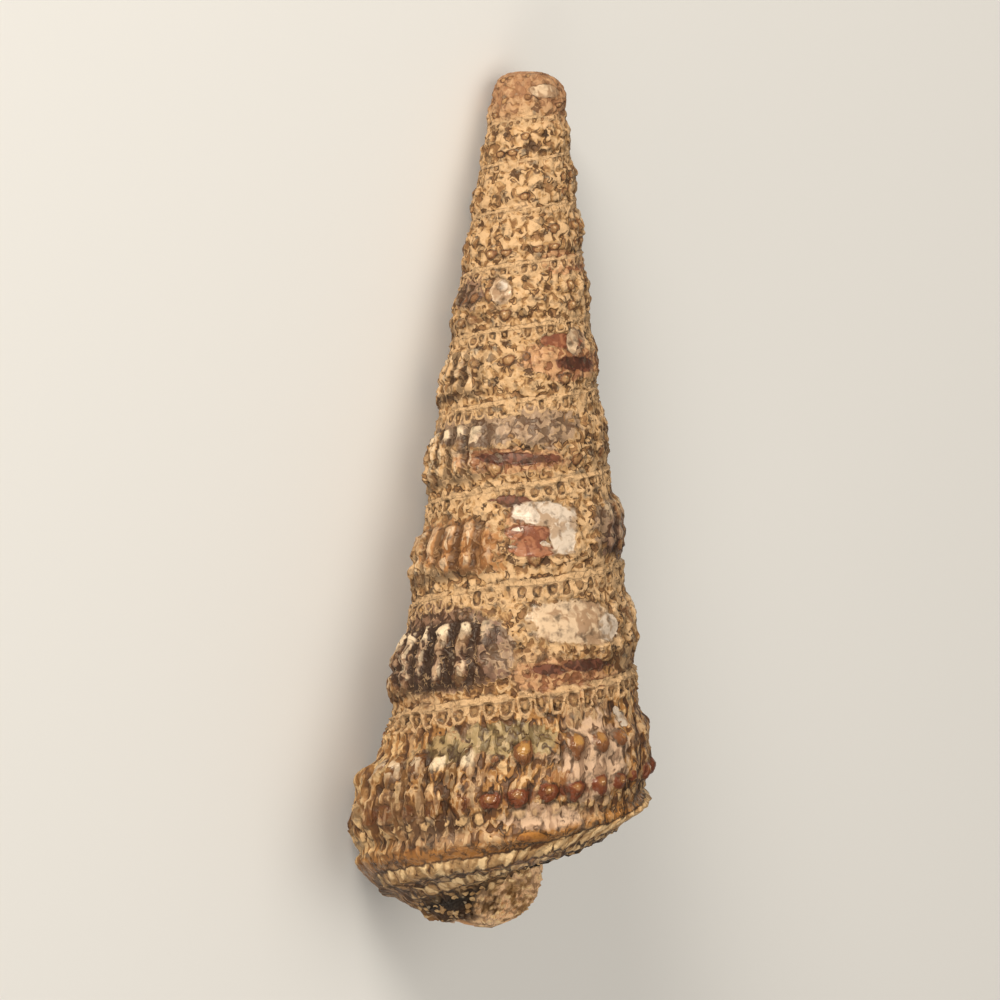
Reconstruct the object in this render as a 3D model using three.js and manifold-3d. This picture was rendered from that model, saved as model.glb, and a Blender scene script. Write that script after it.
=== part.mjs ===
// A mud creeper shell: a tall, right-handed sea snail shell with a worn-off tip, three rows of
// beads on every whorl, a beaded keel round the base, a flared lip and a short open canal.
// It grew as one piece, so it is one closed solid, and it lies on its mouth side with its back up.
// Millimetres, +Z up, the tip of the spire towards +Y, the origin under the middle of the shell.
import * as THREE from "three";
import { mergeVertices } from "three/addons/utils/BufferGeometryUtils.js";
import Module from "manifold-3d";

// Driving dimensions. Depths are measured down the axis from the point where the cone would end
// if the tip weren't worn off. Radii of the whorls are shares of that depth.
const SHELL_LENGTH = 50;
const TIP_DEPTH = 13.5;
const CANAL_DEPTH = TIP_DEPTH + SHELL_LENGTH;
const LIP_SUTURE_DEPTH = 51.9;
const GROWTH_PER_TURN = 1.15;
const BEADS_LAST_WHORL = 30;
const BEAD_GROWTH_RATE = 0.049;
const FIRST_SUTURE_DEPTH = TIP_DEPTH + 1.3;

// Places round the spiral are turns past the lip, so on the shell they are below zero.
// The lip's own bearing is in turns from +X, over the back of the shell.
const LIP_BEARING = 0.56;
const LIP_FLARE = { growth: 0.08, from: -0.2, full: -0.04 };

// How far the edge of the lip curves back between the suture and the keel, and the growth
// stages behind it with it.
const LIP_CURVE = { turns: 0.022, from: -0.16, keel: 0.9 };

// The outline of one whorl from suture to suture: where a row lies as a share of the whorl,
// its radius, and how far its beads stand out.
const WHORL_ROWS = [
  { at: 0.0, radius: 0.1385, bead: 0.0, flare: 0.0 },
  { at: 0.09, radius: 0.141, bead: 0.003, flare: 0.15 },
  { at: 0.27, radius: 0.141, bead: 0.0005, flare: 0.5 },
  { at: 0.46, radius: 0.147, bead: 0.009, flare: 1.0 },
  { at: 0.61, radius: 0.1465, bead: 0.0015, flare: 1.0 },
  { at: 0.77, radius: 0.147, bead: 0.0075, flare: 1.0 },
  { at: 0.93, radius: 0.1425, bead: 0.001, flare: 0.8 },
];

// The last whorl goes on below the suture line: a smooth groove, the beaded keel and a second cord.
// They drop away from the suture as the whorl grows, and lie where this says at the lip.
const KEEL_ROWS = [
  { at: 1.06, radius: 0.1405, bead: 0.0, flare: 0.75 },
  { at: 1.16, radius: 0.139, bead: 0.003, flare: 0.4 },
  { at: 1.21, radius: 0.1315, bead: 0.0, flare: 0.2 },
  { at: 1.26, radius: 0.1235, bead: 0.002, flare: 0.1 },
];
const KEEL_DROP = 0.63;

// Where the last whorl begins, its keel sinks under the suture.
const KEEL_SINK = { shrink: 0.07, from: -0.82, full: -1 };

// The base, from the second cord in to the axis, as [share of the cord's radius, share of the way
// down to the canal's end]: round with a stub of columella at first, then sloping to the lip.
const BASE_ROWS = [
  { round: [0.8, 0.17], lip: [0.8, 0.36] },
  { round: [0.56, 0.28], lip: [0.62, 0.68] },
  { round: [0.37, 0.38], lip: [0.47, 0.82] },
  { round: [0.27, 0.56], lip: [0.34, 0.91] },
  { round: [0.23, 0.78], lip: [0.2, 0.96] },
  { round: [0.12, 0.93], lip: [0.11, 0.99] },
];
const BASE_SLOPE = { from: -0.36, full: -0.04 };

// The worn tip, as rings of [depth below the tip, radius].
const TIP_RINGS = [
  [0.17, 1.3],
  [0.64, 1.9],
];
const TIP_RING_POINTS = 18;

// The hollow's outline in the plane of the mouth, as [radius, depth], from the corner under the
// suture down the lip, along the base and back up the columella. It follows the spiral inwards.
const HOLLOW_OUTLINE = [
  [6.75, 52.9],
  [7.15, 54.2],
  [7.6, 55.5],
  [7.8, 56.9],
  [7.8, 58.3],
  [7.7, 59.6],
  [7.2, 60.6],
  [6.2, 61.3],
  [5.0, 61.8],
  [3.8, 62.0],
  [2.7, 61.6],
  [2.2, 60.2],
  [2.1, 58.4],
  [2.5, 56.8],
  [3.4, 55.6],
  [4.7, 54.4],
  [5.9, 53.3],
];
const HOLLOW_TURNS = 0.95;
const HOLLOW_STEPS = 19;
const HOLLOW_END = { taper: 0.25, closed: 0.9 };

// At the mouth the hollow widens to leave a thin lip: outwards, and down towards the base.
const MOUTH_FROM = -0.2;
const MOUTH_FLARE = { growth: 0.1, fromRadius: 2.5, fullRadius: 7.5 };
const MOUTH_SAG = { growth: 0.12, fromDepth: 58 };

// The open canal beside the columella, cut a little way back from the plane of the mouth.
const CANAL_OUTLINE = [
  [3.3, 61.0],
  [3.2, 62.4],
  [2.9, 64.5],
  [1.85, 64.5],
  [2.0, 62.8],
  [2.15, 60.9],
];
const CANAL_TURNS = 0.1;
const CANAL_STEPS = 4;
const MOUTH_OVERSHOOT = 0.05;

// How the shell lies: turned about its long axis onto the lip, then tipped onto the spire.
const LIE_ROLL_DEG = -50.894;
const LIE_PITCH_DEG = -8.851;

const SHELL_COLOUR = 0xb08a5c;
const SHELL_ROUGHNESS = 0.55;

const TURN = 2 * Math.PI;

function smoothstep(low, high, x) {
  const share = Math.min(Math.max((x - low) / (high - low), 0), 1);
  return share * share * (3 - 2 * share);
}

function mix(a, b, share) {
  return a + (b - a) * share;
}

// The turns before the lip at which a number of beads has been passed, counted back from the lip.
function turnsAtBead(beads) {
  const beadsAtLip =
    (BEADS_LAST_WHORL * BEAD_GROWTH_RATE) / (1 - Math.exp(-BEAD_GROWTH_RATE));
  return Math.log(1 - (BEAD_GROWTH_RATE * beads) / beadsAtLip) / BEAD_GROWTH_RATE;
}

// The depth of a point that lies a share of a whorl below the suture, some turns from the lip.
function depthAt(turns, share) {
  return LIP_SUTURE_DEPTH * GROWTH_PER_TURN ** (turns + share);
}

// A point of the shell from its turns past the lip, its radius and its depth.
function place(turns, radius, depth) {
  const bearing = TURN * (LIP_BEARING + turns);
  return new THREE.Vector3(
    radius * Math.cos(bearing),
    -depth,
    radius * Math.sin(bearing),
  );
}

// The lip's edge curves back below the suture, and so do the last growth stages before it.
function lipShift(turns, share) {
  const nearLip = smoothstep(LIP_CURVE.from, 0, turns);
  return -LIP_CURVE.turns * nearLip * Math.sin(Math.PI * Math.min(share / LIP_CURVE.keel, 1));
}

// One point of the outside, on a bead or in the gap between two.
function outerPoint(turns, row, onBead) {
  const foot = WHORL_ROWS[WHORL_ROWS.length - 1].at;
  const isKeel = row.at > foot;
  const drop = (row.at - foot) * (isKeel ? 1 + KEEL_DROP * turns : 1);
  const depth = depthAt(turns, foot + drop);
  const nearLip = smoothstep(LIP_FLARE.from, LIP_FLARE.full, turns);
  const flare = 1 + LIP_FLARE.growth * row.flare * nearLip;
  const sink = isKeel ? KEEL_SINK.shrink * smoothstep(KEEL_SINK.from, KEEL_SINK.full, turns) : 0;
  const share = row.radius + (onBead ? row.bead : 0);
  const radius = depth * share * flare * (1 - sink);
  return place(turns + lipShift(turns, row.at), radius, depth);
}

// One point of the base, between the second cord and the canal's end.
function basePoint(turns, row) {
  const cord = outerPoint(turns, KEEL_ROWS[KEEL_ROWS.length - 1], false);
  const slope = smoothstep(BASE_SLOPE.from, BASE_SLOPE.full, turns);
  const radius = Math.hypot(cord.x, cord.z) * mix(row.round[0], row.lip[0], slope);
  const depth = mix(-cord.y, CANAL_DEPTH, mix(row.round[1], row.lip[1], slope));
  return place(turns, radius, depth);
}

// Vertices and triangles of one closed surface.
class Surface {
  constructor() {
    this.points = [];
    this.faces = [];
  }

  add(point) {
    return this.points.push(point) - 1;
  }

  triangle(a, b, c) {
    this.faces.push(a, b, c);
  }

  quad(a, b, c, d) {
    this.triangle(a, b, c);
    this.triangle(a, c, d);
  }

  // Joins two lines of points that run side by side, taking the nearer next point each time.
  zip(upper, lower) {
    let u = 0;
    let l = 0;
    while (u < upper.length - 1 || l < lower.length - 1) {
      const upperNext = u < upper.length - 1 ? upper[u + 1].turns : Infinity;
      const lowerNext = l < lower.length - 1 ? lower[l + 1].turns : Infinity;
      if (upperNext < lowerNext) {
        this.triangle(upper[u].id, upper[u + 1].id, lower[l].id);
        u += 1;
      } else {
        this.triangle(upper[u].id, lower[l + 1].id, lower[l].id);
        l += 1;
      }
    }
  }

  solid(wasm) {
    const raw = new THREE.BufferGeometry().setFromPoints(this.points);
    raw.setIndex(this.faces);
    const merged = mergeVertices(raw, 1e-4);
    return new wasm.Manifold(
      new wasm.Mesh({
        numProp: 3,
        vertProperties: merged.attributes.position.array,
        triVerts: new Uint32Array(merged.index.array),
      }),
    );
  }
}

// The growth stages from the tip to the lip, two to a bead: one on it and one in the gap.
function growthStages() {
  const firstTurns =
    Math.log(FIRST_SUTURE_DEPTH / LIP_SUTURE_DEPTH) / Math.log(GROWTH_PER_TURN);
  const stages = [];
  for (let half = 0; turnsAtBead(half / 2) > firstTurns; half += 1)
    stages.unshift({ turns: turnsAtBead(half / 2), onBead: half % 2 === 0 });
  return stages;
}

// The whole outside, with the last whorl still filled up to the plane of the mouth.
function filledShell() {
  const surface = new Surface();
  const stages = growthStages();
  const last = stages.length - 1;
  const coveredLast = last - 2 * BEADS_LAST_WHORL;
  const whorl = stages.map(({ turns, onBead }) =>
    WHORL_ROWS.map((row) => surface.add(outerPoint(turns, row, onBead))),
  );
  const pole = surface.add(new THREE.Vector3(0, -CANAL_DEPTH, 0));
  const base = stages.slice(coveredLast).map(({ turns, onBead }) => [
    ...KEEL_ROWS.map((row) => surface.add(outerPoint(turns, row, onBead))),
    ...BASE_ROWS.map((row) => surface.add(basePoint(turns, row))),
  ]);
  const bottom = WHORL_ROWS.length - 1;

  for (let c = 0; c < last; c += 1)
    for (let r = 0; r < bottom; r += 1)
      surface.quad(whorl[c][r], whorl[c + 1][r], whorl[c + 1][r + 1], whorl[c][r + 1]);

  // The suture: the foot of each whorl meets the top of the next one.
  const nextStart = stages.findIndex(({ turns }) => turns >= stages[0].turns + 1);
  const feet = stages
    .slice(0, coveredLast + 1)
    .map(({ turns }, c) => ({ turns: turns + 1, id: whorl[c][bottom] }));
  const tops = stages
    .slice(nextStart)
    .map(({ turns }, i) => ({ turns, id: whorl[nextStart + i][0] }));
  surface.zip(feet, tops);

  // The base of the last whorl.
  const column = (b) => [whorl[coveredLast + b][bottom], ...base[b], pole];
  const columns = base.map((_, b) => column(b));
  for (let b = 0; b < columns.length - 1; b += 1)
    for (let r = 0; r < columns[b].length - 1; r += 1) {
      const [left, right] = [columns[b], columns[b + 1]];
      surface.triangle(left[r], right[r], left[r + 1]);
      if (left[r + 1] !== pole) surface.triangle(left[r + 1], right[r], right[r + 1]);
    }

  // The plane of the mouth, between the lip and the whorl before it.
  const inner = columns[0];
  const outer = columns[columns.length - 1];
  for (let r = 0; r < bottom; r += 1)
    surface.triangle(inner[0], whorl[last][r + 1], whorl[last][r]);
  for (let r = 0; r < inner.length - 1; r += 1) {
    surface.triangle(inner[r], inner[r + 1], outer[r]);
    if (outer[r + 1] !== pole) surface.triangle(outer[r], inner[r + 1], outer[r + 1]);
  }

  // The worn tip, closed by rings and a fan.
  const rings = TIP_RINGS.map(([drop, radius]) =>
    Array.from({ length: TIP_RING_POINTS }, (_, i) => {
      const turns = stages[0].turns + i / TIP_RING_POINTS;
      return { turns, id: surface.add(place(turns, radius, TIP_DEPTH + drop)) };
    }),
  );
  const closed = rings.map((ring) => [...ring, { ...ring[0], turns: ring[0].turns + 1 }]);
  const crown = surface.add(new THREE.Vector3(0, -TIP_DEPTH, 0));
  for (let i = 0; i < TIP_RING_POINTS; i += 1)
    surface.triangle(crown, closed[0][i + 1].id, closed[0][i].id);
  surface.zip(closed[0], closed[1]);
  const firstEdge = stages
    .slice(0, nextStart + 1)
    .map(({ turns }, c) => ({ turns, id: whorl[c][0] }));
  surface.zip(closed[1], firstEdge);
  const hub = closed[1][0].id;
  surface.triangle(hub, whorl[0][bottom], whorl[nextStart][0]);
  for (let r = bottom; r > 0; r -= 1) surface.triangle(hub, whorl[0][r - 1], whorl[0][r]);
  return surface;
}

// A tube that follows the spiral back from just past the mouth and closes at its far end.
function spiralCut(outline, turnsBack, steps) {
  const surface = new Surface();
  const sides = outline.length;
  const middle = outline
    .reduce(([r, d], [radius, depth]) => [r + radius, d + depth], [0, 0])
    .map((sum) => sum / sides);
  const ringAt = (turns, size) => {
    const scale = GROWTH_PER_TURN ** turns;
    const mouth = smoothstep(MOUTH_FROM, 0, turns);
    return outline.map(([radius, depth]) => {
      const outer = smoothstep(MOUTH_FLARE.fromRadius, MOUTH_FLARE.fullRadius, radius);
      const flare = 1 + MOUTH_FLARE.growth * mouth * outer;
      const sag = MOUTH_SAG.growth * mouth * Math.max(depth - MOUTH_SAG.fromDepth, 0);
      const ringRadius = mix(middle[0], radius * flare, size) * scale;
      const ringDepth = mix(middle[1], depth + sag, size) * scale;
      return surface.add(place(turns, ringRadius, ringDepth));
    });
  };
  const rings = [];
  for (let i = 0; i <= steps; i += 1) {
    const share = i / steps;
    const turns = MOUTH_OVERSHOOT - (MOUTH_OVERSHOOT + turnsBack) * share;
    const taper = Math.max((share - 1) / HOLLOW_END.taper + 1, 0);
    rings.push(ringAt(turns, Math.sqrt(1 - HOLLOW_END.closed * taper ** 2)));
  }
  for (let i = 0; i < steps; i += 1)
    for (let s = 0; s < sides; s += 1) {
      const next = (s + 1) % sides;
      surface.quad(rings[i][s], rings[i][next], rings[i + 1][next], rings[i + 1][s]);
    }
  for (let s = 1; s < sides - 1; s += 1) {
    surface.triangle(rings[0][0], rings[0][s + 1], rings[0][s]);
    surface.triangle(rings[steps][0], rings[steps][s], rings[steps][s + 1]);
  }
  return surface;
}

// The shell as it lies, with its lowest point on the surface under the middle of its outline.
function layDown(geometry) {
  geometry.applyMatrix4(
    new THREE.Matrix4().makeRotationY(THREE.MathUtils.degToRad(LIE_ROLL_DEG)),
  );
  geometry.applyMatrix4(
    new THREE.Matrix4().makeRotationX(THREE.MathUtils.degToRad(LIE_PITCH_DEG)),
  );
  geometry.computeBoundingBox();
  const { min, max } = geometry.boundingBox;
  geometry.translate(-(min.x + max.x) / 2, -(min.y + max.y) / 2, -min.z);
  return geometry;
}

const wasm = await Module();
wasm.setup();

function shellGeometry() {
  const hollow = spiralCut(HOLLOW_OUTLINE, HOLLOW_TURNS, HOLLOW_STEPS);
  const canal = spiralCut(CANAL_OUTLINE, CANAL_TURNS, CANAL_STEPS);
  const solid = filledShell()
    .solid(wasm)
    .subtract(hollow.solid(wasm))
    .subtract(canal.solid(wasm));
  const { vertProperties, triVerts } = solid.getMesh();
  const geometry = new THREE.BufferGeometry();
  geometry.setAttribute("position", new THREE.BufferAttribute(vertProperties, 3));
  geometry.setIndex(new THREE.BufferAttribute(triVerts, 1));
  return layDown(geometry);
}

const shell = new THREE.Mesh(
  shellGeometry(),
  new THREE.MeshStandardMaterial({
    color: SHELL_COLOUR,
    roughness: SHELL_ROUGHNESS,
    metalness: 0,
  }),
);
shell.name = "shell";

const creeper = new THREE.Group();
creeper.add(shell);

export default creeper;
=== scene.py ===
import math

import bpy
import numpy as np
from mathutils import Matrix, Vector


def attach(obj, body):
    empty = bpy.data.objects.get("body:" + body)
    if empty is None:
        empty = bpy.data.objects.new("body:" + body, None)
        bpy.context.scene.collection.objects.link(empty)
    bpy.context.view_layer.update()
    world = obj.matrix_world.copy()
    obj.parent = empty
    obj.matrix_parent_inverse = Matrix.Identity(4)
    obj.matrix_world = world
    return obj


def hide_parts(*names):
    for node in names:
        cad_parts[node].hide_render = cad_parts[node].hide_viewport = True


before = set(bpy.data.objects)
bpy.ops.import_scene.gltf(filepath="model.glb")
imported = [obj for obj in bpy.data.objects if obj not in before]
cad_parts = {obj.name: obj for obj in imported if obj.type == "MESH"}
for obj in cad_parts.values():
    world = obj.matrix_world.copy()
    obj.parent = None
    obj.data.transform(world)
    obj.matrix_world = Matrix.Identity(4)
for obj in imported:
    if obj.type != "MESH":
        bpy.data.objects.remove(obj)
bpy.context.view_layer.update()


# The shell.
# It is one piece of lime that the snail laid down turn by turn from the tip to the lip. The
# beads, cords and growth lines grew with it; later the tip wore off, mud dried in the grooves
# and wear laid bare some smooth patches. It lies on its lip and on the side of the mouth.

# The coil, in millimetres: depths run down the axis from where the cone would end.
TURN = 2 * np.pi
TIP_DEPTH = 13.5
SHELL_LENGTH = 50.0
CANAL_DEPTH = TIP_DEPTH + SHELL_LENGTH
LIP_SUTURE_DEPTH = 51.9
GROWTH = 1.15
LIP_BEARING = 0.56
SPIRE_TURNS = 11
COLUMNS_PER_TURN = 360
WHORL_ROWS = 36
KEEL_ROWS = 12
BASE_ROWS = 30

# How it lies: where the cone's point would be, and how far it is rolled and tipped.
CONE_POINT = np.array([0.294, 38.149, 0.0])
LIE_ROLL = math.radians(-50.894)
LIE_PITCH = math.radians(-8.851)
roll = np.array(Matrix.Rotation(LIE_ROLL, 3, "Y"))
pitch = np.array(Matrix.Rotation(LIE_PITCH, 3, "X"))
lie = pitch @ roll


def ease(low, high, x):
    share = np.clip((x - low) / (high - low), 0.0, 1.0)
    return share * share * (3 - 2 * share)


def blend(a, b, share):
    return a + (b - a) * share


# The spire isn't quite straight: its lower whorls are pushed to the right between these depths.
BEND_PUSH = 0.25
BEND_STARTS = (35.0, 39.0)
BEND_ENDS = (55.5, 52.5)


def bend(depth):
    return BEND_PUSH * ease(*BEND_STARTS, depth) * ease(*BEND_ENDS, depth)


def to_world(points):
    """Points of the upright shell, in millimetres, to where they lie, in metres."""
    bent = points + np.outer(bend(-points[:, 1]), (1, 0, 0))
    return (bent @ lie.T + CONE_POINT) / 1000


def to_shell(points):
    """The other way round."""
    bent = (points * 1000 - CONE_POINT) @ lie
    return bent - np.outer(bend(-bent[:, 1]), (1, 0, 0))


def whorl_depth(turns, share):
    return LIP_SUTURE_DEPTH * GROWTH ** (turns + share)


# Below the suture line the last whorl goes on to its keel, which drops as the whorl grows.
KEEL_DROP = 0.83
KEEL_END = 1.26


def dropped(turns, share):
    return np.where(share > 1, 1 + (share - 1) * (1 + KEEL_DROP * turns), share)


# The worn tip is a low dome on the cone.
DOME_FROM = 13.0
DOME_TO = 15.3
DOME_ROUNDNESS = 0.6

# One whorl's outline from suture to suture and on over the keel, as [share, radius, flare].
OUTLINE = np.array([[0.00, 0.1378, 0.00], [0.03, 0.1400, 0.05], [0.09, 0.1408, 0.15], [0.20, 0.1404, 0.35],
                    [0.33, 0.1410, 0.60], [0.42, 0.1446, 0.95], [0.50, 0.1476, 1.00], [0.61, 0.1458, 1.00],
                    [0.77, 0.1464, 1.00], [0.88, 0.1432, 0.90], [0.96, 0.1402, 0.80], [1.00, 0.1390, 0.65],
                    [1.06, 0.1402, 0.50], [1.12, 0.1402, 0.25], [1.16, 0.1386, 0.05],
                    [1.21, 0.1315, -0.10], [1.26, 0.1235, -0.25]])
LIP_FLARE = 0.08
LIP_FLARE_TURNS = (-0.2, -0.04)
KEEL_SINK = 0.07
KEEL_SINK_TURNS = (-0.82, -1.0)


def outline(turns, share):
    """The radius and depth of the smooth whorl, before its beads."""
    nominal = whorl_depth(turns, dropped(turns, share))
    flare = LIP_FLARE * np.interp(share, OUTLINE[:, 0], OUTLINE[:, 2]) * ease(*LIP_FLARE_TURNS, turns)
    ratio = np.interp(share, OUTLINE[:, 0], OUTLINE[:, 1])
    before_mouth = np.where(share > 1, KEEL_SINK * ease(*KEEL_SINK_TURNS, turns), 0.0)
    radius = nominal * ratio * (1 + flare) * (1 - before_mouth)
    angle = np.clip((nominal - DOME_FROM) / (DOME_TO - DOME_FROM), 0, 1) * np.pi / 2
    dome_radius = DOME_TO * ratio * np.sin(angle) ** DOME_ROUNDNESS
    dome_depth = TIP_DEPTH + (DOME_TO - TIP_DEPTH) * (1 - np.cos(angle))
    on_dome = nominal < DOME_TO
    return np.where(on_dome, dome_radius, radius), np.where(on_dome, dome_depth, nominal)


# The rows of beads. Each bead is a low dome, and a rib joins the beads of one growth step. Places
# and heights are shares of a whorl, widths are in beads, and what stands out is a share of depth.
BEADS_LAST_WHORL = 30
BEAD_GROWTH_RATE = 0.049
BEAD_TOTAL = BEADS_LAST_WHORL / (1 - math.exp(-BEAD_GROWTH_RATE))
BEADS_IN_ALL = 400
ROWS = {
    "suture": dict(at=0.105, high=0.078, wide=0.42, stands=0.0044, square=3.5, often=1.5),
    "shoulder": dict(at=0.27, high=0.055, wide=0.26, stands=0.0026, square=2.0, often=1),
    "upper": dict(at=0.470, high=0.086, wide=0.37, stands=0.0096, square=2.0, often=1),
    "thread": dict(at=0.63, high=0.030, wide=0.32, stands=0.0026, square=2.0, often=1),
    "lower": dict(at=0.808, high=0.070, wide=0.38, stands=0.0086, square=2.0, often=1),
    "foot": dict(at=0.93, high=0.040, wide=0.40, stands=0.0034, square=2.0, often=1.5),
}
# The rows whose beads are stained, and how red they are on the last whorl.
STAINED_ROWS = {"upper": 0.2, "lower": 1.0}
# Where the ribs step out, as [turns, share of a whorl]: higher up on the older whorls.
RIB_TOPS = np.array([[-3.5, 0.24], [-3.0, 0.24], [-2.5, 0.34], [-1.5, 0.34], [-1.06, 0.30],
                     [-0.56, 0.43], [0.0, 0.39]])
RIB_FOOT = 0.86
LIP_RIB_FOOT = 1.0
LIP_RIB_TURNS = (-0.42, -0.25)
RIB_STANDS = 0.0036
TALL_RIB_STANDS = 0.0092
RIB_WIDE = (0.22, 0.1)
RIB_WANDER = (0.12, 0.02)
RIB_STEP = (-0.03, 0.01)
RIB_FADES = 0.14
RIB_WAIST = dict(at=0.63, high=0.03, deep=0.35)
RIB_HEIGHTS = (0.7, 0.3)
RIB_TOP_WANDER = 0.05
FINE_CORDS = (0.16, 0.36, 0.55, 0.69, 0.86, 0.96, 1.10)
FINE_CORD_STANDS = 0.0012
FINE_CORD_HIGH = 0.016
BEAD_PHASE = 0.26
BEAD_HEIGHTS = (0.75, 0.5)
BEAD_WANDER = (0.22, 0.3)
BEAD_LEAN = 0.3
chance = np.random.default_rng(7)
bead_luck = {name: chance.uniform(0, 1, BEADS_IN_ALL) for name in ROWS}
# On the back of the last whorl, counted from the lip, some beads stand clear and others are worn
# down. A few further up are worn down too.
BACK_FIRST_BEAD = 7
UPPER_LUCK = (0.1, 0.1, 0.15, 0.95, 0.1, 0.9, 0.8, 0.2, 0.15, 0.3, 0.1, 0.25)
LOWER_LUCK = (0.4, 0.7, 0.6, 0.8, 0.75, 1.0, 0.9, 0.3)
WORN_BEADS = (slice(38, 40), slice(94, 100))
WORN_BEAD_LEFT = 0.3
for row_name, lucks in (("upper", UPPER_LUCK), ("lower", LOWER_LUCK)):
    bead_luck[row_name][BACK_FIRST_BEAD:BACK_FIRST_BEAD + len(lucks)] = lucks
for worn_down in WORN_BEADS:
    bead_luck["upper"][worn_down] *= WORN_BEAD_LEFT


def bead_count(turns):
    """How many beads back from the lip, on a coil whose bead count grows a little each turn."""
    return BEAD_TOTAL * (1 - np.exp(BEAD_GROWTH_RATE * turns)) + BEAD_PHASE


def on_bead(name, turns, share, wobble):
    """Where each point is on its nearest bead, along and down the coil, and the bead's luck."""
    row = ROWS[name]
    beads = bead_count(turns) * row["often"]
    nearest = np.round(beads)
    luck = bead_luck[name][np.clip(nearest, 0, BEADS_IN_ALL - 1).astype(int)]
    least, luck_adds = BEAD_HEIGHTS
    along = (beads - nearest) / row["wide"] + BEAD_WANDER[0] * wobble[0]
    down = (share - row["at"]) / (row["high"] * (least + luck_adds * luck))
    down = down + BEAD_WANDER[1] * wobble[1]
    return along * (1 + BEAD_LEAN * np.clip(down, -1, 1)), down, luck


def bead_row(name, turns, share, wobble):
    """How far inside its bead's edge each point is, from 1 in the middle, and the bead's luck."""
    along, down, luck = on_bead(name, turns, share, wobble)
    square = ROWS[name]["square"]
    return 1 - (np.abs(along) ** square + np.abs(down) ** square) ** (1 / square), luck


CELL_RIM = dict(at=0.12, wide=0.13)
CELL_BEAD = dict(stands=0.8, side=(0.55, 0.85))


def cell_under_suture(edge):
    """A rim round a dip, with a small bead in the dip."""
    rim = np.exp(-((edge - CELL_RIM["at"]) / CELL_RIM["wide"]) ** 2)
    return rim + CELL_BEAD["stands"] * ease(*CELL_BEAD["side"], edge)


def rib_top(turns):
    return np.interp(turns, RIB_TOPS[:, 0], RIB_TOPS[:, 1])


def rib_foot(turns):
    return blend(RIB_FOOT, LIP_RIB_FOOT, ease(*LIP_RIB_TURNS, turns))


def rib(turns, share, wobble):
    """A rib across each bead of one growth step: 1 on its back and 0 in the gaps."""
    beads = bead_count(turns) + RIB_WANDER[0] * wobble[0]
    nearest = np.round(beads)
    luck = bead_luck["shoulder"][np.clip(nearest, 0, BEADS_IN_ALL - 1).astype(int)]
    back = np.exp(-(np.abs(beads - nearest) / (RIB_WIDE[0] + RIB_WIDE[1] * luck)) ** 4)
    top = rib_top(turns) + RIB_TOP_WANDER * (luck - 0.5) + RIB_WANDER[1] * wobble[1]
    off_waist = share - RIB_WAIST["at"] - RIB_WAIST["high"] * wobble[1]
    waist = 1 - RIB_WAIST["deep"] * np.exp(-(off_waist / RIB_WAIST["high"]) ** 2)
    tall = ease(top + RIB_STEP[0], top + RIB_STEP[1], share)
    tall = tall * ease(0, RIB_FADES, rib_foot(turns) - share)
    return back * waist * (RIB_HEIGHTS[0] + RIB_HEIGHTS[1] * luck) * tall


# Under the suture line the last whorl carries a broad ropey keel and a cord below it. They run
# down faster than the suture does, so they are placed by their share of a whorl at each turn.
SEAM = dict(high=0.042, stands=0.0036, below=0.012)
KEEL = dict(high=0.056, stands=0.0076, below=0.0)
UNDER_KEEL = dict(high=0.026, stands=0.0042, below=0.092)
KEEL_TOP = 1.02
KEEL_FALL = 0.225
KEEL_FALL_TURNS = (-0.68, -0.26)
ROPE = dict(twists=1.25, slant=0.4, sway=2.0, deep=0.25, wander=0.006, roundness=0.6,
            ends=(-0.06, -0.14))
BASE_CORDS = dict(below=0.04, gap=0.062, wide=0.42, stands=0.0050, wander=0.2, starts=(0, 0.02))
BASE_GRAINS = dict(often=1.1, shift=0.37, sway=3.0, least=0.5, adds=0.6)


def keel_at(turns):
    return KEEL_TOP + KEEL_FALL * ease(*KEEL_FALL_TURNS, turns)


def rope(cord, turns, drop, wobble):
    """A round ridge along the coil with a twist in it, from how far below its guide a point is."""
    off = (drop - cord["below"] + ROPE["wander"] * wobble[1]) / cord["high"]
    strands = bead_count(turns) * ROPE["twists"] + ROPE["slant"] * off
    twist = np.sin(TURN * strands + ROPE["sway"] * wobble[0])
    round_back = np.clip(1 - off ** 2, 0, 1) ** ROPE["roundness"]
    return round_back * (1 - ROPE["deep"] + ROPE["deep"] * twist) * ease(*ROPE["ends"], turns)


def suture_cord(turns, share, wobble):
    """The cord on the suture. Its upper half lies on the foot of the whorl above."""
    over = np.round(share)
    return rope(SEAM, turns + over, share - over, wobble)


def base_cords(turns, drop, wobble):
    """Grainy cords on the base, from how far below the keel a point is."""
    below = drop - UNDER_KEEL["below"] - BASE_CORDS["below"]
    number = np.floor(below / BASE_CORDS["gap"])
    off = below / BASE_CORDS["gap"] - number - 0.5 + BASE_CORDS["wander"] * wobble[1]
    steps = bead_count(turns) * BASE_GRAINS["often"] + BASE_GRAINS["shift"] * number
    wave = np.sin(TURN * steps + BASE_GRAINS["sway"] * wobble[0])
    grains = np.clip(BASE_GRAINS["least"] + BASE_GRAINS["adds"] * wave, 0, 1)
    round_back = np.clip(1 - (off / BASE_CORDS["wide"]) ** 2, 0, 1)
    return round_back * grains * ease(*BASE_CORDS["starts"], below)


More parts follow.
